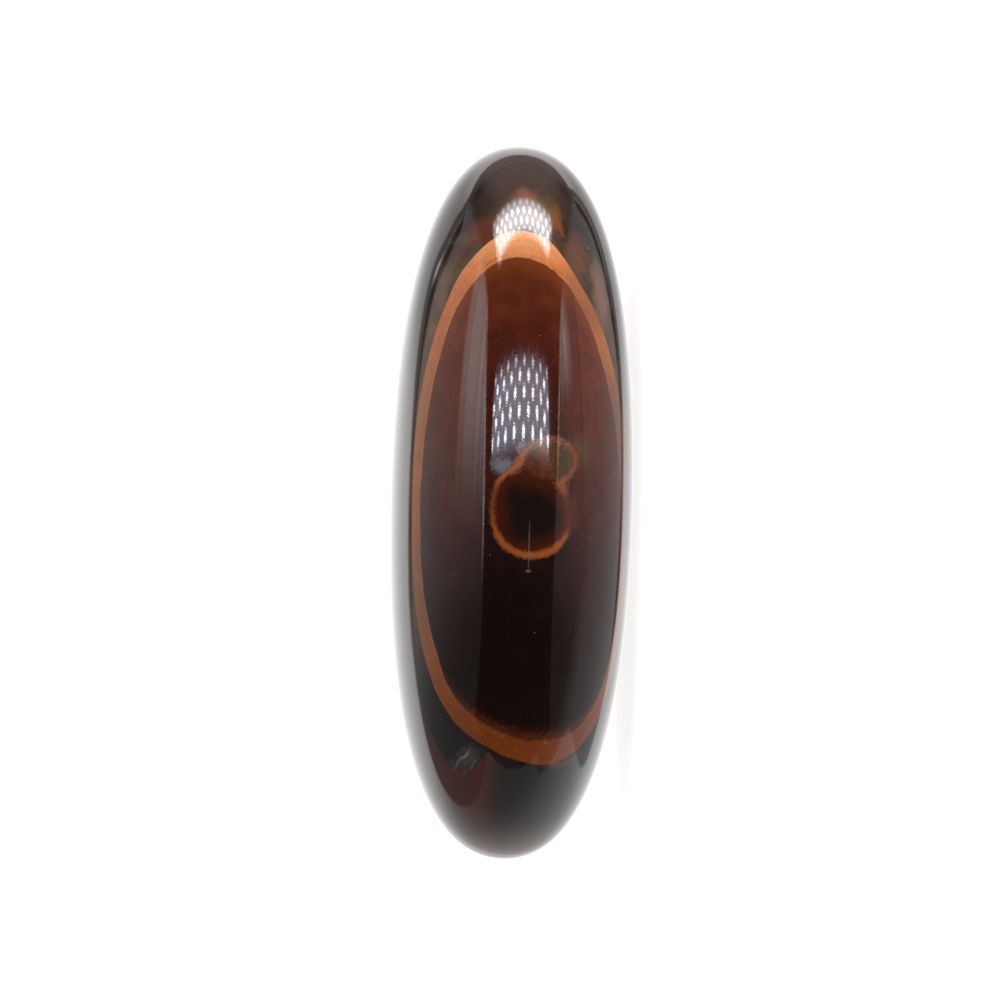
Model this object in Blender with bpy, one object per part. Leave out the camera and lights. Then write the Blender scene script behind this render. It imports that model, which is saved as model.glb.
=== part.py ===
# A polished palm stone, lying on one of its two broad faces.
# Metres, +Z up. +X runs along the stone, +Y across it and +Z through its thickness.
# The origin is under the middle of the stone, on the surface that it rests on.

import bpy
import bmesh
from mathutils import Vector

# Driving dimensions
LENGTH = 0.0700
WIDTH = 0.0500
THICKNESS = 0.0236
REST_SPOT_DEPTH = 0.00015  # how much is rubbed off under the stone, which leaves a small flat spot

# Fullness of each outline at its corners, as a share of the plain ellipse's radius there
SIDE_FULLNESS = 0.056  # length by thickness, the outline seen from the edge
PLAN_FULLNESS = 0.030  # length by width, the outline seen from above
SECTION_FULLNESS = 0.035  # width by thickness, the outline of a cut across

# A hand-cut stone is a little wider towards one end
PLAN_TAPER = 0.030  # share of the width lost from the middle to the +X end, and gained to the other

# Facets: each step quarters the triangles of a 20-sided ball
BALL_STEPS = 5

STONE_NAME = "palm_stone"
STONE_COLOUR = (0.045, 0.018, 0.010, 1.0)
STONE_ROUGHNESS = 0.06


def clear_scene():
    """Removes whatever the startup file holds."""
    for old in list(bpy.data.objects):
        bpy.data.objects.remove(old)


def fullness(ball):
    """How far the surface stands out beyond the ellipsoid, for a point of the unit ball."""
    x2, y2, z2 = ball.x**2, ball.y**2, ball.z**2
    side = SIDE_FULLNESS * x2 * z2
    plan = PLAN_FULLNESS * x2 * y2
    section = SECTION_FULLNESS * y2 * z2
    return 1.0 + 4.0 * (side + plan + section)


def stone_point(ball):
    """The point of the stone's surface that stands for a point of the unit ball."""
    swell = fullness(ball)
    return Vector((
        LENGTH / 2 * ball.x * swell,
        WIDTH / 2 * ball.y * swell * (1.0 - PLAN_TAPER * ball.x),
        THICKNESS / 2 * ball.z * swell,
    ))


def cut_rest_spot(form):
    """Trims the lowest skin off, and closes the cut with one flat face."""
    lowest = min(vert.co.z for vert in form.verts)
    everything = form.verts[:] + form.edges[:] + form.faces[:]
    cut = bmesh.ops.bisect_plane(
        form,
        geom=everything,
        plane_co=(0.0, 0.0, lowest + REST_SPOT_DEPTH),
        plane_no=(0.0, 0.0, 1.0),
        clear_inner=True,
    )
    rim = [part for part in cut["geom_cut"] if isinstance(part, bmesh.types.BMEdge)]
    bmesh.ops.contextual_create(form, geom=rim)


def stand_on_origin(form):
    """Moves the stone so that its box is centred on the origin and its flat spot is at Z 0."""
    middle = []
    for axis in (0, 1):
        places = [vert.co[axis] for vert in form.verts]
        middle.append((min(places) + max(places)) / 2)
    lowest = min(vert.co.z for vert in form.verts)
    bmesh.ops.translate(form, verts=form.verts, vec=(-middle[0], -middle[1], -lowest))


def stone_mesh():
    """The whole stone as one closed body."""
    form = bmesh.new()
    bmesh.ops.create_icosphere(form, subdivisions=BALL_STEPS, radius=1.0)
    for vert in form.verts:
        vert.co = stone_point(vert.co.normalized())
    cut_rest_spot(form)
    stand_on_origin(form)
    bmesh.ops.recalc_face_normals(form, faces=form.faces)
    mesh = bpy.data.meshes.new(STONE_NAME)
    form.to_mesh(mesh)
    form.free()
    mesh.shade_smooth()
    return mesh


def polished_stone():
    """Dark brown chalcedony, polished to a gloss."""
    material = bpy.data.materials.new("dark_brown_chalcedony")
    material.use_nodes = True
    surface = material.node_tree.nodes["Principled BSDF"]
    surface.inputs["Base Color"].default_value = STONE_COLOUR
    surface.inputs["Roughness"].default_value = STONE_ROUGHNESS
    surface.inputs["Metallic"].default_value = 0.0
    return material


def build():
    clear_scene()
    stone = bpy.data.objects.new(STONE_NAME, stone_mesh())
    stone.data.materials.append(polished_stone())
    bpy.context.scene.collection.objects.link(stone)


build()
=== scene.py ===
# A polished palm stone of dark brown banded chalcedony: its surface, the light round it and the camera.
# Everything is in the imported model's frame, in metres with +Z up. The stone lies on a broad face, its
# pictured edge is towards -Y and its slimmer end towards +X. Values called "in mm" are turned to metres
# where they are used.

import math
import bpy
import bmesh
from mathutils import Matrix, Vector, noise


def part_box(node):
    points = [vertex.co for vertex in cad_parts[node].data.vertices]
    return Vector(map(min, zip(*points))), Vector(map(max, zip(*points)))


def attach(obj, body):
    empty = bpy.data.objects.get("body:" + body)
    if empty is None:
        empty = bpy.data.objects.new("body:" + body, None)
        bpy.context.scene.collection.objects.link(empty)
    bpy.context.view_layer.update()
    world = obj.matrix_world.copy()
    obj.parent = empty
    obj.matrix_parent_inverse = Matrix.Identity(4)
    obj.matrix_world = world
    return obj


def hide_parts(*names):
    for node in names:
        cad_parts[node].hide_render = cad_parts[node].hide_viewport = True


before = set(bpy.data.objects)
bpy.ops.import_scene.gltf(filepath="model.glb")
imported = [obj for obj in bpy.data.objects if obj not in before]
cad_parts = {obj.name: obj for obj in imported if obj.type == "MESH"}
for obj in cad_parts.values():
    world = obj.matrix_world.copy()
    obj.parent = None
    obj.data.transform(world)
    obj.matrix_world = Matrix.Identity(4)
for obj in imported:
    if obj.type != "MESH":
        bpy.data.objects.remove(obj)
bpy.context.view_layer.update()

mm = 0.001


def toLinear(hexColour):
    # an sRGB hex colour as the linear values that a shader takes
    parts = [int(hexColour[i:i + 2], 16) / 255 for i in (1, 3, 5)]
    return [c / 12.92 if c <= 0.04045 else ((c + 0.055) / 1.055) ** 2.4 for c in parts] + [1.0]


def addNode(tree, kind, links=None, ramp=None, **settings):
    # adds a node, sets it, and links or fills its sockets
    # a source may be a node, a socket, a number or a hex colour
    node = tree.nodes.new("ShaderNode" + kind)
    for name, value in settings.items():
        setattr(node, name, value)
    for key, source in (links or {}).items():
        byName = isinstance(key, str)
        socket = next(s for s in node.inputs if s.name == key and s.enabled) if byName else node.inputs[key]
        if isinstance(source, bpy.types.Node):
            source = next(s for s in source.outputs if s.enabled)
        if isinstance(source, bpy.types.NodeSocket):
            tree.links.new(source, socket)
        else:
            socket.default_value = toLinear(source) if isinstance(source, str) else source
    if ramp:
        stops = node.color_ramp.elements
        while len(stops) < len(ramp):
            stops.new(0.5)
        for stop, (place, colour) in zip(stops, ramp):
            stop.position = place
            stop.color = toLinear(colour)
    return node


def shaderTools(tree):
    # what both the stone's and the tent's node trees are made with
    def add(*args, **kwargs):
        return addNode(tree, *args, **kwargs)

    def fade(value, start, end):
        # 0 at start and 1 at end, with no corners
        ends = {"Value": value, "From Min": start, "From Max": end}
        return add("MapRange", ends, interpolation_type="SMOOTHSTEP")

    def both(*masks):
        product = masks[0]
        for mask in masks[1:]:
            product = add("Math", {0: product, 1: mask}, operation="MULTIPLY")
        return product

    def stripe(value, low, high, soft):
        # 1 between low and high, with a soft edge on both sides
        return both(fade(value, low - soft, low + soft), fade(value, high + soft, high - soft))

    return add, fade, both, stripe


# The stone's form

stone = {
    "node": "palm_stone",
    "slot": "polished_chalcedony",
    "restSpotDepth": 0.15,  # in mm, what is rubbed off under the middle
    "sideFullness": 0.056,  # how much fuller than an ellipse each outline is at its corners
    "planFullness": 0.030,
    "sectionFullness": 0.035,
    "planTaper": 0.030,  # the share of the width that is lost towards the slim end
    "ballSteps": 7,  # 82,000 triangles
    "lapWave": 9.0,  # in mm, the width of the shallow waves that polishing by hand leaves
    "lapDepth": 0.010,  # in mm
}


def stonePoint(ball, half):
    x2, y2, z2 = ball.x ** 2, ball.y ** 2, ball.z ** 2
    side = stone["sideFullness"] * x2 * z2
    plan = stone["planFullness"] * x2 * y2
    section = stone["sectionFullness"] * y2 * z2
    swell = 1 + 4 * (side + plan + section)
    return Vector((
        half.x * ball.x * swell,
        half.y * ball.y * swell * (1 - stone["planTaper"] * ball.x),
        half.z * ball.z * swell,
    ))


def makeStone():
    low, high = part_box(stone["node"])
    low, high = Vector(low), Vector(high)
    spot = stone["restSpotDepth"] * mm
    half = (high - low) / 2
    half.z += spot / 2
    middle = Vector(((low.x + high.x) / 2, (low.y + high.y) / 2, high.z - half.z))
    form = bmesh.new()
    bmesh.ops.create_icosphere(form, subdivisions=stone["ballSteps"], radius=1)
    wave = 1 / (stone["lapWave"] * mm)
    for vert in form.verts:
        ball = vert.co.normalized()
        place = stonePoint(ball, half)
        place -= ball * (1 + noise.noise(place * wave)) / 2 * stone["lapDepth"] * mm
        vert.co = place + middle
    everything = form.verts[:] + form.edges[:] + form.faces[:]
    cut = bmesh.ops.bisect_plane(
        form, geom=everything, plane_co=(0, 0, low.z), plane_no=(0, 0, 1), clear_inner=True,
    )
    rim = [part for part in cut["geom_cut"] if isinstance(part, bmesh.types.BMEdge)]
    bmesh.ops.contextual_create(form, geom=rim)
    bmesh.ops.recalc_face_normals(form, faces=form.faces)
    mesh = bpy.data.meshes.new("polishedStone")
    form.to_mesh(mesh)
    form.free()
    mesh.shade_smooth()
    piece = bpy.data.objects.new("polished_palm_stone", mesh)
    bpy.context.scene.collection.objects.link(piece)
    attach(piece, "root")
    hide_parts(stone["node"])
    return piece, middle


stonePiece, stoneMiddle = makeStone()
print("stone made:", len(stonePiece.data.polygons), "faces")


# The stone's pattern. Lengths are in mm, from the stone's middle: X along it, Z up and Y across.

pattern = {
    # the orange layer is a shallow bowl that opens towards -Y, and the rounded edge cuts it in a long ring
    "bowlTilt": (0.0313, -1.0, -0.0348),
    "bowlBend": (0.0061, 0.0468, -0.00095),
    "bowlDepth": 19.05,
    "bandThick": 1.5,
    "edgeSoft": 0.05,
    "fineWander": 0.16,  # how far the layers wander near the ring
    "wideWander": 5.0,  # and on the sides that are further off
    # inside the ring, as X, Z and radius: the dark eye, the swelling on its upper side, and the olive bud
    "eye": (-1.24, -0.76, 3.58),
    "shoulder": (1.05, 0.67, 1.56),
    "bud": (4.02, -2.26, 1.95),
    "budWidth": 0.79,
    "blend": 3.1,  # how far the three round each other off
    "rimHalf": (0.20, 0.28),  # half the width of the eye's rim, above and at its foot
    # the layer isn't even: how far its outer and its inner face stray inwards, by place
    "strays": {
        "slimEnd": (-0.22, -0.20),
        "slimSides": (0.10, -0.12),
        "midLength": (-0.25, 0.0),
        "footSide": (0.18, 0.0),
        "foot": (0.0, -0.32),
        "lowerShoulder": (0.26, 0.0),
        "lowerShoulderTip": (0.0, -0.22),
    },
}

# colours along the stone: X in mm, and the sRGB colour there
crestColours = [
    (-24, "#2a0f08"), (-21, "#1a0b08"), (-15, "#100908"), (-7, "#130a08"), (0, "#28100a"),
    (8, "#36140d"), (14, "#3f1710"), (18, "#4e2112"), (23, "#582713"),
]
flankColours = [
    (-24, "#2a110a"), (-19, "#170c09"), (-11, "#1e0e0a"), (-5, "#321510"), (0, "#3f1811"),
    (6, "#4c1f12"), (13, "#5a230e"), (18, "#602710"), (23, "#683014"),
]
# the orange layer's list holds its colour and painted light: it grows lighter towards the slim end, where the
# light comes from, and darker at the foot, which is painted shade
bandColoursAndPaintedLight = [
    (-25, "#683113"), (-22, "#683114"), (-20, "#723817"), (-18, "#7c4320"), (-15, "#824a28"),
    (-10, "#7f4d2b"), (0, "#884c22"), (11, "#8f5227"), (17, "#a55f34"), (22, "#c07341"),
    (25, "#dc9866"),
]

# the layers behind the orange one, from the far edge on: depth in mm, and the colour there
deepLayers = [
    (-46, "#2a1711"), (-41, "#3f2015"), (-36.8, "#2a1610"), (-36.5, "#5a4032"), (-33, "#54382a"),
    (-29.7, "#3a1c11"), (-29.3, "#85491f"), (-29, "#3d1d12"), (-25, "#26140f"), (-22.3, "#4a2415"),
    (-22.0, "#965630"), (-20.7, "#a8683a"), (-20.4, "#54301d"), (-18, "#381a10"), (-13.7, "#2b150e"),
    (-13.4, "#7a4020"), (-12.8, "#8a4c26"), (-12.5, "#3a1c11"), (-9, "#33221a"), (-4, "#3a2a22"),
]

# soft marks outside the ring, near its ends: place, half size, colour and strength
marks = [
    ((27.4, -15.5, -1.2), (1.2, 3.0, 1.3), "#5d4a2c", 0.8),
    ((28.9, -15.0, 0.1), (0.6, 3.0, 1.0), "#85503a", 0.65),
    ((26.8, -16.5, -2.6), (0.8, 3.0, 0.4), "#844a24", 0.6),
    ((25.7, -16.5, -3.0), (0.9, 3.0, 0.4), "#884a20", 0.6),
    ((25.2, -17.0, 4.2), (1.3, 3.0, 1.3), "#5c2817", 0.8),
    ((23.2, -16.5, 5.6), (1.0, 3.0, 0.6), "#4a2015", 0.7),
    ((24.6, -15.5, 6.6), (0.4, 3.0, 1.6), "#7a5c3a", 0.25),
    ((23.0, -17.5, -4.8), (2.6, 3.0, 0.9), "#633924", 0.8),
    ((19.4, -16.0, -7.2), (3.0, 3.0, 0.8), "#7c5a48", 0.8),
    ((21.8, -16.0, -6.6), (1.6, 3.0, 0.6), "#6e5446", 0.6),
    ((20.8, -14.5, 7.6), (1.8, 3.0, 0.7), "#66503e", 0.6),
    ((18.6, -15.5, 7.7), (1.0, 3.0, 0.5), "#7c4a34", 0.5),
    ((16.0, -15.5, 8.3), (0.8, 3.0, 0.4), "#7a4a30", 0.6),
    ((-23.3, -17.0, -4.4), (1.0, 3.0, 1.8), "#5a3a2c", 0.8),
]


def chalcedony():
    # Chalcedony, a dense quartz, cut and polished to a gloss. It is dark and glassy: clear mirror reflections
    # over deep browns, with iron-stained layers below the surface.
    material = bpy.data.materials.new("polished chalcedony")
    material.use_nodes = True
    tree = material.node_tree
    tree.nodes.clear()
    add, fade, both, stripe = shaderTools(tree)

    def over(base, colour, *masks):
        # lays a colour over another where the masks are
        return add("Mix", {"Factor": both(*masks), "A": base, "B": colour}, data_type="RGBA")

    def colourAt(colours, place):
        # the colour that a list gives for a place in mm
        low, high = colours[0][0], colours[-1][0]
        share = add("MapRange", {"Value": place, "From Min": low, "From Max": high})
        ramp = [((at - low) / (high - low), colour) for at, colour in colours]
        return add("ValToRGB", {0: share}, ramp=ramp)

    def gain(colour, amount, *masks):
        # brightens or darkens a colour, everywhere or where the masks are
        if masks:
            amount = add("MapRange", {"Value": both(*masks), "To Min": 1.0, "To Max": amount})
        return add("VectorMath", {0: colour, 3: amount}, operation="SCALE")

    def spread(noisy, low, high):
        # a noise, which keeps mostly between 0.3 and 0.7, as a brightness between low and high
        ends = {"Value": noisy, "From Min": 0.3, "From Max": 0.7, "To Min": low, "To Max": high}
        return add("MapRange", ends)

    def centred(noisy):
        # a noise that goes to both sides of 0
        return add("Math", {0: noisy, 1: 0.5}, operation="SUBTRACT")

    def size(value):
        return add("Math", {0: value}, operation="ABSOLUTE")

    # places in mm, from the stone's middle
    inMetres = add("TexCoord").outputs["Object"]
    toMiddle = {0: inMetres, 1: (1 / mm, 1 / mm, 1 / mm), 2: (0, 0, -stoneMiddle.z / mm)}
    p = add("VectorMath", toMiddle, operation="MULTIPLY_ADD")
    X, Y, Z = add("SeparateXYZ", {0: p}).outputs

    # clouds and grain that several parts share; each scale is 1 over the size of the spots in mm
    fine = add("TexNoise", {"Vector": p, "Scale": 1 / 3.0, "Detail": 3.0})
    wide = add("TexNoise", {"Vector": p, "Scale": 1 / 15.0, "Detail": 2.0})
    cloud = add("TexNoise", {"Vector": p, "Scale": 1 / 7.0, "Detail": 4.0})
    mottle = add("TexNoise", {"Vector": p, "Scale": 1 / 1.8, "Detail": 5.0})
    grain = add("TexNoise", {"Vector": p, "Scale": 1 / 0.3, "Detail": 3.0})
    fineShift, grainShift = centred(fine), centred(grain)
    raggedBy = add("TexNoise", {"Vector": p, "Scale": 1 / 1.6, "Detail": 5.0}).outputs["Color"]
    raggedBy = add("VectorMath", {0: raggedBy, 1: (0.5, 0.5, 0.5)}, operation="SUBTRACT")
    ragged = add("VectorMath", {0: raggedBy, 1: (2.0, 2.0, 2.0), 2: p}, operation="MULTIPLY_ADD")
    # hairlines, where a noise crosses its middle
    hairBy = add("TexNoise", {"Vector": p, "Scale": 1 / 8.0, "Detail": 2.5})
    hair = both(fade(size(centred(hairBy)), 0.008, 0.001), fade(cloud, 0.44, 0.58))

    # depth below the orange layer's outer face: above 0 is in the layer, above its thickness inside the ring
    hidden = fade(Y, -18.0, 6.0)
    wideShift = both(centred(wide), hidden, pattern["wideWander"])
    wander = add("Math", {0: fineShift, 1: pattern["fineWander"] * 2, 2: wideShift}, operation="MULTIPLY_ADD")
    tilt = add("VectorMath", {0: p, 1: pattern["bowlTilt"]}, operation="DOT_PRODUCT")
    bendBy = add("CombineXYZ", {0: X, 1: Z, 2: both(X, Z)})
    bend = add("VectorMath", {0: bendBy, 1: pattern["bowlBend"]}, operation="DOT_PRODUCT")
    depth = add("Math", {0: bend, 1: Z, 2: tilt}, operation="MULTIPLY_ADD")
    depth = add("Math", {0: depth, 1: pattern["bowlDepth"]}, operation="SUBTRACT")
    depth = add("Math", {0: depth, 1: wander}, operation="ADD")

    places = {
        "slimEnd": both(fade(X, 18.0, 22.5), fade(size(Z), 4.5, 1.5)),
        "slimSides": both(fade(X, 13.0, 17.0), fade(size(Z), 2.5, 4.5)),
        "midLength": stripe(X, 2.0, 12.0, 3.0),
        "footSide": both(fade(X, -13.0, -18.0), fade(Z, -2.0, -6.0)),
        "foot": both(fade(X, -13.0, -18.0), fade(Z, -4.0, 1.0)),
        "lowerShoulder": both(stripe(X, 18.5, 22.5, 3.0), fade(Z, -0.5, -5.0)),
    }
    places["lowerShoulderTip"] = both(places["lowerShoulder"], fade(X, 17.0, 22.0))
    outerStray, innerStray = 0.0, pattern["bandThick"]
    for name, (outerBy, innerBy) in pattern["strays"].items():
        outerStray = add("Math", {0: places[name], 1: outerBy, 2: outerStray}, operation="MULTIPLY_ADD")
        innerStray = add("Math", {0: places[name], 1: innerBy, 2: innerStray}, operation="MULTIPLY_ADD")
    fromOuter = add("Math", {0: depth, 1: outerStray}, operation="SUBTRACT")
    fromInner = add("Math", {0: depth, 1: innerStray}, operation="SUBTRACT")
    soft = pattern["edgeSoft"]
    inLayer = both(fade(fromOuter, -soft, soft), fade(fromInner, soft, -soft))
    inside = fade(fromInner, -soft, soft)

    # inside the ring: mahogany at the slim end, nearly black at the other, and redder down both flanks
    along = add("Math", {0: X, 1: 3.5}, operation="SUBTRACT")
    along = add("Math", {0: cloud, 1: 7.0, 2: along}, operation="MULTIPLY_ADD")
    flank = fade(size(Z), 2.2, 6.5)
    front = over(colourAt(crestColours, along), colourAt(flankColours, along), flank)
    front = gain(front, spread(mottle, 0.8, 1.2))
    front = over(front, "#7a2f16", hair, fade(X, -6.0, 4.0), 0.28)
    # rust beside the layer, smooth at the slim end and speckled at the foot
    front = over(front, "#743a1a", fade(fromInner, 0.9, 0.0), fade(X, 10.0, 20.0), 0.55)
    speckled = add("Math", {0: grainShift, 1: 0.9, 2: fromInner}, operation="MULTIPLY_ADD")
    front = over(front, "#4f2311", fade(speckled, 0.6, 0.0), fade(X, -14.0, -20.0), 0.75)

    # the orange layer: grainy, with faint streaks that run along it
    streak = add("TexNoise", {"Vector": p, "Scale": 1 / 2.2, "Detail": 3.0})
    ply = add("TexNoise", {"W": depth, "Scale": 3.0, "Detail": 2.0}, noise_dimensions="1D")
    band = colourAt(bandColoursAndPaintedLight, X)
    for noisy, low, high in ((grain, 0.90, 1.08), (streak, 0.90, 1.10), (ply, 0.90, 1.08)):
        band = gain(band, spread(noisy, low, high))
    # lighter down its upper side, which faces the light, as painted light; darker on the lower shoulder; and
    # greyed underneath with a painted reflection of the grey below
    band = gain(band, 1.22, fade(Z, 4.5, 7.0), fade(X, -10.0, -2.0), fade(X, 24.0, 14.0))
    band = gain(band, 0.66, fade(Z, -3.0, -4.5), stripe(X, 16.5, 22.0, 1.5))
    band = over(band, "#5c4034", fade(Z, -5.5, -7.5), stripe(X, -3.0, 11.0, 3.0), 0.75)

    # outside the ring: brown clouds with an orange cast, greyer and darker further off
    outerMottle = add("TexNoise", {"Vector": p, "Scale": 1 / 3.8, "Detail": 5.0, "Distortion": 0.5})
    outer = add("ValToRGB", {0: outerMottle}, ramp=[
        (0.28, "#2a1a14"), (0.42, "#45301f"), (0.55, "#503820"), (0.68, "#42261a"), (0.8, "#301a14"),
    ])
    outer = over(outer, "#3d2921", fade(X, 26.0, 30.0))
    outer = over(outer, "#63463b", fade(X, 31.0, 34.5))
    outer = over(outer, "#1b120f", fade(depth, -1.0, -2.6), fade(size(Z), 2.0, 5.0), 0.9)
    outer = over(outer, "#1d1917", fade(X, -8.0, -18.0))
    # the hidden layers, from the orange one's back to the far edge
    deep = colourAt(deepLayers, depth)
    deep = gain(gain(deep, spread(outerMottle, 0.75, 1.25)), spread(grain, 0.92, 1.08))
    outer = over(outer, deep, fade(depth, -4.5, -9.0))
    for middle, halfSize, colour, strength in marks:
        offset = add("VectorMath", {0: ragged, 1: middle}, operation="SUBTRACT")
        offset = add("VectorMath", {0: offset, 1: halfSize}, operation="DIVIDE")
        away = add("VectorMath", {0: offset}, operation="LENGTH")
        outer = over(outer, colour, fade(away, 1.7, 0.3), strength)
    outer = over(outer, "#8d7058", hair, fade(X, 21.0, 24.0), fade(X, 29.0, 27.0), 0.45)

    # at the thick end's foot the slate-coloured part ends in a round lobe, with a redder body beyond it
    nearEdge = fade(Y, -9.0, -13.0)
    lobeMiddle = add("Math", {0: Z, 1: 4.8}, operation="SUBTRACT")
    lobeRound = add("Math", {0: lobeMiddle, 1: 2.0}, operation="POWER")
    lobe = add("Math", {0: lobeRound, 1: -0.42, 2: X}, operation="MULTIPLY_ADD")
    lobe = add("Math", {0: lobe, 1: add("SeparateXYZ", {0: raggedBy}).outputs[0]}, operation="ADD")
    redder = both(fade(lobe, -24.8, -25.5), fade(Z, 0.8, 3.2), fade(Z, 9.5, 6.5))
    outer = over(outer, "#42201a", redder, nearEdge)
    # and a small chip inside the lobe: a grey broken surface with curved pale streaks, which are partly its
    # own and partly painted glints
    chipAlong, chipAcross = (-0.87, 0.0, 0.50), (0.50, 0.0, 0.87)
    fromChip = add("VectorMath", {0: ragged, 1: (-23.9, 0.0, 4.4)}, operation="SUBTRACT")
    lengthwise = add("VectorMath", {0: fromChip, 1: chipAlong}, operation="DOT_PRODUCT")
    crosswise = add("VectorMath", {0: fromChip, 1: chipAcross}, operation="DOT_PRODUCT")
    inOval = add("CombineXYZ", {0: both(lengthwise, 0.62), 1: crosswise})
    inChip = fade(add("VectorMath", {0: inOval}, operation="LENGTH"), 1.3, 0.2)
    chipStreak = add("VectorMath", {0: p, 1: chipAcross}, operation="DOT_PRODUCT")
    chipStreak = add("Math", {0: mottle, 1: 1.2, 2: chipStreak}, operation="MULTIPLY_ADD")
    chipStreak = add("TexNoise", {"W": chipStreak, "Scale": 2.6, "Detail": 2.0}, noise_dimensions="1D")
    outer = over(outer, "#45403e", inChip, nearEdge, 0.6)
    # pale streaks, partly painted glints on the chip's facets
    streaksAndGlints = both(inChip, fade(chipStreak, 0.50, 0.66), fade(cloud, 0.35, 0.55))
    outer = over(outer, "#8c8783", streaksAndGlints, nearEdge, 0.7)

    colour = over(outer, front, inside)
    colour = over(colour, band, inLayer)

    # a thin broken line of pits along the layer's inner face, at both ends, with a finer line inside the
    # layer at the slim end, pale pits, and a darker edge under the foot
    pitNoise = add("TexNoise", {"Vector": p, "Scale": 1 / 0.45, "Detail": 3.0})
    ends = fade(size(X), 18.5, 21.0)
    pitted = both(stripe(fromInner, -0.09, 0.02, 0.06), fade(pitNoise, 0.44, 0.60), fade(streak, 0.42, 0.58))
    colour = over(colour, "#3a1a0c", pitted, ends, 0.7)
    fineLine = both(stripe(fromInner, -0.24, -0.18, 0.03), fade(mottle, 0.40, 0.55))
    colour = over(colour, "#6e3a20", fineLine, fade(X, 19.5, 21.5), fade(size(Z), 4.5, 3.5), 0.6)
    palePits = both(stripe(fromInner, -0.22, -0.12, 0.05), fade(pitNoise, 0.40, 0.34))
    colour = over(colour, "#b08868", palePits, ends, 0.18)
    darkEdge = both(stripe(fromOuter, -0.25, 0.0, 0.10), fade(mottle, 0.42, 0.55))
    colour = over(colour, "#1a100c", darkEdge, fade(X, -19.0, -22.0), 0.9)

    # the eye, its shoulder and its bud have one outline, in the plane of X and Z
    def awayFrom(cx, cz, squash=1.0):
        # how far a place is from a point in that plane, with Z counted squash times
        flat = add("CombineXYZ", {0: X, 1: Z, 2: 0.0})
        flat = add("VectorMath", {0: flat, 1: (cx, cz, 0.0)}, operation="SUBTRACT")
        flat = add("VectorMath", {0: flat, 1: (1.0, squash, 1.0)}, operation="MULTIPLY")
        return add("VectorMath", {0: flat}, operation="LENGTH")

    def roundSpot(name, squash=1.0):
        cx, cz, radius = pattern[name]
        return add("Math", {0: awayFrom(cx, cz, squash), 1: radius}, operation="SUBTRACT")

    outline, bud = roundSpot("eye"), roundSpot("bud", pattern["budWidth"])
    for joined in (roundSpot("shoulder"), bud):
        outline = add("Math", {0: outline, 1: joined, 2: pattern["blend"]}, operation="SMOOTH_MIN")
    outline = add("Math", {0: fineShift, 1: 0.35, 2: outline}, operation="MULTIPLY_ADD")

    colour = over(colour, "#14100f", fade(outline, 1.7, 0.2), fade(X, 1.5, -3.0), inside, 0.8)
    roughOutline = add("Math", {0: centred(mottle), 1: 1.8, 2: outline}, operation="MULTIPLY_ADD")
    eyeColour = over("#170e0b", "#38150b", fade(roughOutline, -1.9, -0.4))
    colour = over(colour, eyeColour, fade(outline, 0.1, -0.1), inside)
    budColour = add("ValToRGB", {0: mottle}, ramp=[(0.3, "#43200f"), (0.5, "#542b17"), (0.7, "#6b4127")])
    budColour = over(budColour, "#43321c", fade(Z, -2.0, -3.4), 0.9)
    colour = over(colour, gain(budColour, spread(grain, 0.75, 1.2)), fade(bud, 0.1, -0.4), inside)
    budFoot = both(stripe(bud, -0.30, -0.05, 0.25), fade(outline, -0.5, -1.1), fade(mottle, 0.36, 0.56))
    colour = over(colour, "#6e4a2c", budFoot, inside, 0.5)

    # its orange rim: thick below, thin on the upper side, lost on the lower side, and pale and broken round
    # the bud's top
    lost = fade(awayFrom(-0.8, -4.5), 2.3, 1.1)
    pale = fade(awayFrom(6.2, -2.0, 0.7), 2.3, 1.2)
    rightSide = fade(Z, -3.0, -4.2)
    above, foot = pattern["rimHalf"]
    rimWidths = {"Value": X, "From Min": -1.0, "From Max": -4.5, "To Min": above, "To Max": foot}
    rimHalf = add("MapRange", rimWidths)
    thinner = both(stripe(X, -2.2, 1.2, 0.8), fade(Z, 0.8, 1.8))
    nearNeck = fade(awayFrom(1.6, -3.7), 1.3, 0.5)
    for mask, wider in ((thinner, -0.06), (nearNeck, 0.05)):
        rimHalf = add("Math", {0: mask, 1: wider, 2: rimHalf}, operation="MULTIPLY_ADD")
    rimAway = size(add("Math", {0: outline, 1: 0.05}, operation="ADD"))
    rimAway = add("Math", {0: rimAway, 1: rimHalf}, operation="SUBTRACT")
    for shift, amount in ((grainShift, 0.75), (rightSide, 0.05)):
        rimAway = add("Math", {0: shift, 1: amount, 2: rimAway}, operation="MULTIPLY_ADD")
    faint = add("Math", {0: lost, 1: both(pale, 0.7)}, operation="MAXIMUM")
    rimStrength = add("MapRange", {"Value": faint, "To Min": 0.9, "To Max": 0.12})
    rimColour = over("#733a1c", "#8f4a20", fade(X, 0.5, -3.5))
    rimColour = over(rimColour, "#96563a", fade(X, 1.0, 2.5))
    rimColour = over(rimColour, "#7c4224", rightSide, fade(X, 0.0, 1.0))
    rimColour = gain(rimColour, spread(grain, 0.75, 1.15))
    colour = over(colour, rimColour, fade(rimAway, 0.24, -0.20), inside, rimStrength)
    dusty = both(stripe(bud, -0.5, 0.15, 0.3), fade(grain, 0.40, 0.62))
    colour = over(colour, "#94705f", dusty, pale, inside, 0.45)
    colour = over(colour, "#5c2a18", stripe(outline, -0.5, 0.9, 0.5), lost, inside, 0.4)
    olive = both(fade(awayFrom(4.9, -5.2, 1.2), 2.2, 0.3), fade(outline, 0.0, 0.4))
    colour = over(colour, "#4f3a26", olive, inside, 0.7)
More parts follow.
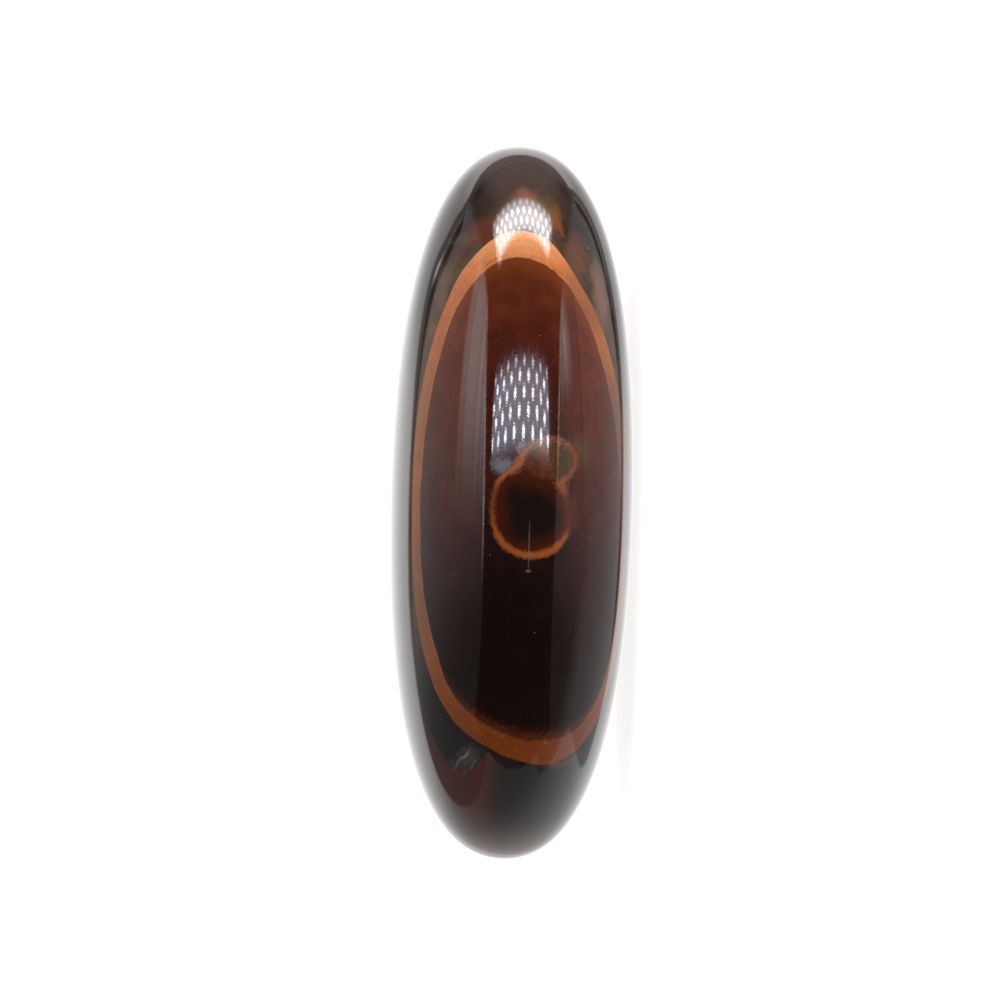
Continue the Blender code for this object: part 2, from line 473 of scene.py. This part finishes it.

    # two milky patches beside the eye, and below it a painted reflection: a fine pale line that ends in a dot
    for cx, cz, squash, reach in ((3.30, 1.80, 0.62, 0.72), (5.10, 0.36, 0.9, 0.42)):
        edge = add("Math", {0: grainShift, 1: 1.0, 2: awayFrom(cx, cz, squash)}, operation="MULTIPLY_ADD")
        milky = both(fade(edge, reach * 1.4, reach * 0.4), fade(outline, 0.1, 0.3))
        colour = over(colour, "#686b74", milky, inside, 0.75)
    paintedReflectionLine = both(fade(awayFrom(-3.85, -0.55, 30.0), 2.5, 1.9), fade(grain, 0.3, 0.5))
    paintedReflectionDot = fade(awayFrom(-6.15, -0.55, 0.5), 0.18, 0.02)
    for mark, tone in ((paintedReflectionLine, "#6f5a50"), (paintedReflectionDot, "#8a7c72")):
        colour = over(colour, tone, mark, inside, 0.4)

    # dust-fine pale specks
    speck = add("TexVoronoi", {"Vector": p, "Scale": 1 / 1.7})
    chosen = fade(add("SeparateXYZ", {0: speck.outputs["Color"]}).outputs[0], 0.30, 0.22)
    colour = over(colour, "#a08a7c", fade(speck.outputs["Distance"], 0.045, 0.015), chosen, 0.6)

    # the polish: a clear gloss, a little uneven, so that lamps show a grainy haze
    peel = add("TexNoise", {"Vector": p, "Scale": 1 / 0.22, "Detail": 2.0})
    bump = add("Bump", {"Height": peel, "Strength": 0.11, "Distance": 0.02 * mm})
    uneven = {"Value": grain, "From Min": 0.45, "From Max": 0.7, "To Min": 0.035, "To Max": 0.09}
    dull = add("MapRange", uneven)
    skin = add("BsdfPrincipled", {"Base Color": colour, "Roughness": dull, "IOR": 1.54, "Normal": bump})
    add("OutputMaterial", {"Surface": skin})
    return material


stonePiece.data.materials.append(chalcedony())
print("material made")


# The light: a white tent round the stone, open at the front, with one panel of small lamps above the opening
# and one overhead. Its own up is +X, its back +Y and its left +Z, as in the picture. Gloss sees the tent by
# direction. Dull surfaces get a smooth light from all round, and a little more from one area light.

tent = {
    # brightness of each part, where a white wall in full light is 1
    "backMiddle": 1.20,
    "backEdgeLow": 1.05,
    "backEdgeMiddle": 0.68,
    "backEdgeTop": 1.15,
    "sideRear": 0.44,
    "sideLow": 0.14,
    "ceiling": 0.33,
    "ceilingCorner": 0.16,
    "opening": 0.02,
    "ground": 0.75,
    "groundFrontLeft": 0.26,
    "seamOuter": 0.06,
    "seamInner": 0.22,
    "seamThread": 0.55,
    "litStrip": 2.1,  # the sides' front edges, next to the lamps
    "hem": 3.0,
    "onDull": (0.2, 0.9),  # the smooth light on dull surfaces, from the front and from the back
    "folds": (0.66, 1.3),  # the darkest and the brightest of the cloth's folds, against its own brightness
    "foldsPerSlope": 8.0,  # how fine they are
    # how far aside each edge is, as the share of the direction that points aside
    "backHalf": 0.535,
    "openLeft": (0.79, 0.745),  # lower down, and higher up
    "openRight": 0.745,
    "backTop": 0.79,  # the back wall's top, over its distance
    "soft": 0.012,
}

# each lamp panel: its corners, lamp spacing and lamp size as slopes seen from the stone, how much its near
# edge is arched, how soft its edges are, and the brightness and colour of its light
panels = {
    "front": {
        "box": (-0.75, 0.98, 0.22, 0.59),
        "step": (0.235, 0.080),
        "lamp": (0.070, 0.054),
        "arch": 0.0,
        "blur": 0.05,
        "farBlur": 0.10,
        "board": 2.5,
        "lamps": 24.0,
        "halo": 0.6,
        "tint": (0.90, 0.97, 1.13),
    },
    "overhead": {
        "box": (-0.60, 0.68, -0.27, 0.01),
        "step": (0.120, 0.105),
        "lamp": (0.060, 0.085),
        "arch": 0.25,
        "blur": 0.07,
        "farBlur": 0.11,
        "board": 9.0,
        "lamps": 15.0,
        "halo": 2.0,
        "tint": (1.00, 0.97, 1.00),
    },
}


def makeTent():
    world = bpy.data.worlds.new("light tent")
    bpy.context.scene.world = world
    world.use_nodes = True
    world.cycles.sampling_method = "NONE"
    tree = world.node_tree
    tree.nodes.clear()
    add, fade, both, stripe = shaderTools(tree)

    def past(value, edge, soft=tent["soft"]):
        return fade(value, edge - soft, edge + soft)

    def short(value, edge, soft=tent["soft"]):
        return fade(value, edge + soft, edge - soft)

    def over(base, value, *masks):
        return add("Mix", {"Factor": both(*masks), "A": base, "B": value})

    direction = add("TexCoord").outputs["Generated"]
    up, back, left = add("SeparateXYZ", {0: direction}).outputs
    aside = add("Math", {0: left}, operation="ABSOLUTE")
    front = add("Math", {0: back, 1: -1.0}, operation="MULTIPLY")
    onLeft, onRight = past(left, 0.0), short(left, 0.0)

    # side walls of hanging cloth: brighter above, behind on the right, and at their front edges beside
    # the lamps
    behindRight = both(fade(back, -0.15, 0.25), onRight)
    lit = add("Math", {0: fade(up, -0.35, 0.1), 1: behindRight}, operation="MAXIMUM")
    bright = over(tent["sideLow"], tent["sideRear"], lit)
    leftStrip = both(fade(back, 0.10, -0.06), fade(up, -0.05, 0.35), fade(up, 0.72, 0.55), onLeft)
    rightStrip = both(fade(back, -0.18, -0.34), fade(up, 0.25, 0.48), fade(up, 0.72, 0.60), onRight)
    bright = over(bright, tent["litStrip"], add("Math", {0: leftStrip, 1: rightStrip}, operation="MAXIMUM"))
    fold = add("Math", {0: back, 1: aside}, operation="DIVIDE")
    fold = add("TexNoise", {"W": fold, "Scale": tent["foldsPerSlope"], "Detail": 2.0}, noise_dimensions="1D")
    darkest, brightest = tent["folds"]
    folded = {"Value": fold, "From Min": 0.3, "From Max": 0.7, "To Min": darkest, "To Max": brightest}
    folded = both(bright, add("MapRange", folded))
    bright = over(bright, folded, fade(aside, 0.70, 0.76), fade(up, -0.05, 0.1), fade(back, 0.3, 0.0))
    bright = over(bright, 0.15, stripe(aside, 0.775, 0.782, 0.004), stripe(up, 0.25, 0.55, 0.03))

    # ceiling, with a faint seam across it, and the dark corners where it meets the sides and the back
    ceiling = over(tent["ceiling"], tent["ceilingCorner"], fade(aside, 0.30, 0.55))
    arc = add("Math", {0: up, 1: -0.76, 2: back}, operation="MULTIPLY_ADD")
    ceiling = over(ceiling, 0.16, stripe(arc, -0.012, 0.012, 0.012), fade(aside, 0.5, 0.4))
    ceilingEdge = add("Math", {0: aside, 1: -0.95, 2: up}, operation="MULTIPLY_ADD")
    bright = over(bright, ceiling, past(ceilingEdge, 0.0, 0.05))
    flipped = add("CombineXYZ", {0: up, 1: back, 2: aside})
    corner = add("VectorMath", {0: flipped, 1: (0.645, 0.575, 0.50)}, operation="DISTANCE")
    bright = over(bright, 0.03, fade(corner, 0.12, 0.02), 0.8)

    # the back wall curves into the ground, which darkens towards the front and the left
    top = add("Math", {0: up, 1: -1.0, 2: both(back, tent["backTop"])}, operation="MULTIPLY_ADD")
    drift = both(fade(up, 0.18, 0.36), fade(up, 0.60, 0.45), 0.075, onLeft)
    lowRight = both(fade(up, -0.25, -0.60), fade(back, -0.1, 0.3), onRight)
    drift = add("Math", {0: lowRight, 1: 0.5, 2: drift}, operation="MULTIPLY_ADD")
    seamAt = add("Math", {0: drift, 1: tent["backHalf"]}, operation="ADD")
    fromSeam = add("Math", {0: aside, 1: seamAt}, operation="SUBTRACT")
    edge = over(tent["backEdgeLow"], tent["backEdgeMiddle"], fade(up, 0.05, 0.15))
    edge = over(edge, tent["backEdgeTop"], fade(up, 0.40, 0.55))
    wall = over(tent["backMiddle"], edge, fade(aside, 0.1, 0.42))
    frontLeft = add("Math", {0: left, 1: 0.6, 2: front}, operation="MULTIPLY_ADD")
    ground = over(tent["ground"], tent["groundFrontLeft"], fade(frontLeft, -0.95, 0.15))
    wall = over(wall, ground, fade(up, -0.15, -0.55))
    bright = over(bright, wall, past(top, 0.0), short(fromSeam, 0.0))

    # a double seam down both sides of the back wall, with a paler thread between
    seamWidths = {"Value": up, "From Min": 0.06, "From Max": 0.18, "To Min": 0.030, "To Max": 0.062}
    seamHalf = both(add("MapRange", seamWidths), fade(up, -0.25, -0.05))
    fromMiddle = add("Math", {0: fromSeam}, operation="ABSOLUTE")
    pastSeam = add("Math", {0: fromMiddle, 1: seamHalf}, operation="SUBTRACT")
    inSeam = both(fade(pastSeam, 0.010, -0.010), past(top, -0.02), past(back, 0.0))
    seam = over(tent["seamInner"], tent["seamOuter"], past(fromSeam, 0.005))
    seam = over(seam, tent["seamThread"], short(fromMiddle, 0.006, 0.004), past(up, 0.22, 0.03))
    seam = over(seam, 2.2, short(fromMiddle, 0.007, 0.005), stripe(up, 0.235, 0.285, 0.03), onLeft)
    bright = over(bright, seam, inSeam, fade(up, -0.22, -0.05))
    bright = over(bright, 0.18, stripe(top, -0.02, 0.0, 0.008), short(fromSeam, 0.0), past(up, 0.2))

    # the dark opening, and the bright hems at its sides
    lower, higher = tent["openLeft"]
    openWidths = {"Value": up, "From Min": 0.35, "From Max": 0.60, "To Min": lower, "To Max": higher}
    fromLeft = add("Math", {0: left, 1: add("MapRange", openWidths)}, operation="SUBTRACT")
    fromRight = add("Math", {0: left, 1: tent["openRight"]}, operation="ADD")
    belowEdge = add("Math", {0: front, 1: 3.0, 2: up}, operation="MULTIPLY_ADD")
    between = both(short(fromLeft, 0.0), past(left, -tent["openRight"]))
    bright = over(bright, tent["opening"], both(between, past(front, 0.0), past(belowEdge, 0.0)))
    # each hem: its side, how far inwards it is, where it is dark and fully lit, and where it glows
    hems = ((fromLeft, 0.010, (-0.22, 0.02), 0.125), (fromRight, -0.012, (0.09, 0.18), 0.21))
    for beside, shift, (dark, full), glowAt in hems:
        fromHem = add("Math", {0: beside, 1: shift}, operation="SUBTRACT")
        fromHem = add("Math", {0: fromHem}, operation="ABSOLUTE")
        along = both(fade(up, dark, full), fade(up, 0.42, 0.30), past(front, 0.3))
        bright = over(bright, tent["hem"], short(fromHem, 0.008, 0.005), along)
        glowing = both(short(fromHem, 0.012, 0.012), stripe(up, glowAt - 0.03, glowAt + 0.03, 0.05), along)
        bright = over(bright, tent["hem"] * 0.6, glowing, 0.7)

    seenInGloss = bright
    for name, along, ahead in (("front", up, front), ("overhead", back, up)):
        # rows of small lamps, each row half a step off the last, on a glowing board
        panel = panels[name]
        facing = fade(ahead, 0.03, 0.12)
        ahead = add("Math", {0: ahead, 1: 0.02}, operation="MAXIMUM")
        across = add("Math", {0: left, 1: ahead}, operation="DIVIDE")
        along = add("Math", {0: along, 1: ahead}, operation="DIVIDE")
        u0, u1, v0, v1 = panel["box"]
        blur, farBlur = panel["blur"], panel["farBlur"]
        arched = {0: both(across, across), 1: panel["arch"], 2: along}
        fromNear = add("Math", arched, operation="MULTIPLY_ADD")
        board = both(past(across, u0, blur), short(across, u1, blur), past(fromNear, v0, blur),
                     short(along, v1, farBlur))
        row = add("Math", {0: along, 1: panel["step"][1]}, operation="DIVIDE")
        odd = add("Math", {0: add("Math", {0: row}, operation="FLOOR"), 1: 2.0}, operation="FLOORED_MODULO")
        column = add("Math", {0: across, 1: panel["step"][0]}, operation="DIVIDE")
        column = add("Math", {0: odd, 1: 0.5, 2: column}, operation="MULTIPLY_ADD")
        inColumn = add("Math", {0: column}, operation="FRACT")
        inRow = add("Math", {0: row}, operation="FRACT")
        cell = add("CombineXYZ", {0: inColumn, 1: inRow, 2: 0.5})
        cell = add("VectorMath", {0: cell, 1: (0.5, 0.5, 0.5)}, operation="SUBTRACT")
        squash = [2 * panel["step"][i] / panel["lamp"][i] for i in (0, 1)] + [0]
        cell = add("VectorMath", {0: cell, 1: squash}, operation="MULTIPLY")
        fromLamp = add("VectorMath", {0: cell}, operation="LENGTH")
        lamps = both(fade(fromLamp, 1.25, 0.65), past(fromNear, v0 + 0.025))
        glow = add("Math", {0: lamps, 1: panel["lamps"], 2: panel["board"]}, operation="MULTIPLY_ADD")
        halo = both(past(across, u0, 0.40), short(across, u1 - 0.1, 0.20), past(along, v0, 0.12),
                    short(along, v1, 0.20), panel["halo"])
        shine = both(add("Math", {0: both(glow, board), 1: halo}, operation="ADD"), facing)
        shone = {0: shine, 1: panel["tint"], 2: seenInGloss}
        seenInGloss = add("VectorMath", shone, operation="MULTIPLY_ADD")

    # what falls on dull surfaces is smooth: dim from the front, white from the back
    frontDim, backWhite = tent["onDull"]
    fromFront = {"Value": back, "From Min": -1.0, "From Max": 1.0, "To Min": frontDim, "To Max": backWhite}
    seen = add("MapRange", fromFront)
    path = add("LightPath")
    for ray, instead in (("Is Glossy Ray", seenInGloss), ("Is Camera Ray", "#ffffff")):
        seen = add("Mix", {"Factor": path.outputs[ray], "A": seen, "B": instead}, data_type="RGBA")
    light = add("Background", {"Color": seen, "Strength": 1.0})
    add("OutputWorld", {"Surface": light})


lights = {
    # name: direction from the stone, distance and size in mm, power in watts
    "upper front": ((0.62, -0.62, 0.40), 620, 420, 2.0),
}


def addLights():
    for name, (direction, distance, size, power) in lights.items():
        data = bpy.data.lights.new(name, "AREA")
        data.shape = "DISK"
        data.size = size * mm
        data.energy = power
        lamp = bpy.data.objects.new(name, data)
        bpy.context.scene.collection.objects.link(lamp)
        away = Vector(direction).normalized()
        lamp.location = stoneMiddle + away * distance * mm
        lamp.rotation_mode = "QUATERNION"
        lamp.rotation_quaternion = away.to_track_quat("Z", "Y")
        lamp.visible_glossy = False


floorCard = {"size": 1600, "grey": "#dcdcdc", "glow": 0.85}  # in mm; white card under plenty of light


def addFloor():
    reach = floorCard["size"] / 2 * mm
    mesh = bpy.data.meshes.new("floorCard")
    corners = [(-reach, -reach, 0), (reach, -reach, 0), (reach, reach, 0), (-reach, reach, 0)]
    mesh.from_pydata(corners, [], [(0, 1, 2, 3)])
    card = bpy.data.objects.new("floor_card", mesh)
    bpy.context.scene.collection.objects.link(card)
    material = bpy.data.materials.new("white card")
    material.use_nodes = True
    tree = material.node_tree
    tree.nodes.clear()
    dull = addNode(tree, "BsdfDiffuse", {"Color": floorCard["grey"]})
    glow = addNode(tree, "Emission", {"Color": "#ffffff", "Strength": floorCard["glow"]})
    both = addNode(tree, "AddShader", {0: dull, 1: glow})
    addNode(tree, "OutputMaterial", {"Surface": both})
    mesh.materials.append(material)
    card.visible_glossy = False


makeTent()
addLights()
addFloor()
print("light and floor made")


# The camera, where the picture was taken from. The picture's top is +X and its right is down, -Z.

view = {
    "distance": 300.0,  # in mm, from the stone's middle
    "rise": 2.8,  # degrees above the stone's middle plane
    "roll": 1.44,  # degrees that the stone's top leans to the right
    "lens": 109.44,
    "shift": (-0.0106, 0.0028),
}


def addCamera():
    rise, roll = math.radians(view["rise"]), math.radians(view["roll"])
    ahead = Vector((0, math.cos(rise), -math.sin(rise)))
    levelRight = Vector((0, -math.sin(rise), -math.cos(rise)))
    levelUp = Vector((1, 0, 0))
    right = levelRight * math.cos(roll) + levelUp * math.sin(roll)
    up = levelUp * math.cos(roll) - levelRight * math.sin(roll)
    data = bpy.data.cameras.new("camera")
    data.lens = view["lens"]
    data.sensor_width = 36
    data.shift_x, data.shift_y = view["shift"]
    data.clip_start, data.clip_end = 0.01, 10
    camera = bpy.data.objects.new("camera", data)
    bpy.context.scene.collection.objects.link(camera)
    place = stoneMiddle - ahead * view["distance"] * mm
    camera.matrix_world = Matrix.Translation(place) @ Matrix((right, up, -ahead)).transposed().to_4x4()
    bpy.context.scene.camera = camera
    bpy.context.scene.view_settings.view_transform = "Standard"


addCamera()
print("camera placed")
